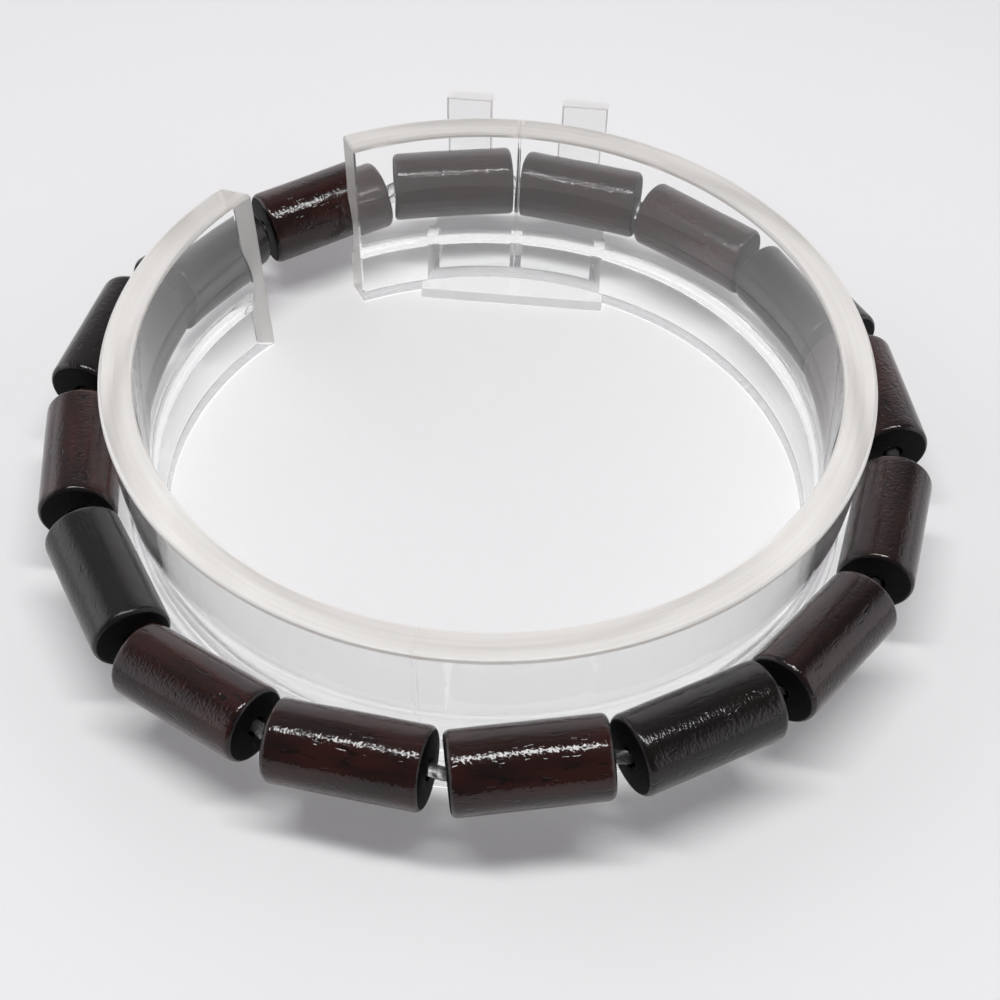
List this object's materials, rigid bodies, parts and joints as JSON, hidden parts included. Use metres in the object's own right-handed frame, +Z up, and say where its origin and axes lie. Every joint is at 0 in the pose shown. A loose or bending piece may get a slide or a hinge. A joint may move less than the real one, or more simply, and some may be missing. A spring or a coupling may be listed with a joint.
{
  "type": "beaded bracelet on display ring",
  "caption": "Stretch bracelet of dark polished wooden tube beads on an elastic cord, set round a clear C-shaped display ring with a pronged foot",
  "frame": {"origin": "middle of the bounding box's bottom face, on the surface that the display ring stands on", "axes": "+Z is up, along the axis of the ring and of the bead row; +Y points from the ring's axis to its foot; +X is to the right when the foot is at the far side"},
  "size_m": [0.0724, 0.0753, 0.017],
  "materials": {
    "clear_acrylic": "clear moulded acrylic, polished, with faint parting lines",
    "elastic": "translucent white elastic cord",
    "dark_wood": "dark red-brown to black wood, polished, with lengthwise pores"
  },
  "bodies": {
    "root": {"display_ring": "clear_acrylic", "elastic_cord": "elastic", "bead_01": "dark_wood", "bead_02": "dark_wood", "bead_03": "dark_wood", "bead_04": "dark_wood", "bead_05": "dark_wood", "bead_06": "dark_wood", "bead_07": "dark_wood", "bead_08": "dark_wood", "bead_09": "dark_wood", "bead_10": "dark_wood", "bead_11": "dark_wood", "bead_12": "dark_wood", "bead_13": "dark_wood", "bead_14": "dark_wood", "bead_15": "dark_wood", "bead_16": "dark_wood"}
  },
  "joints": []
}
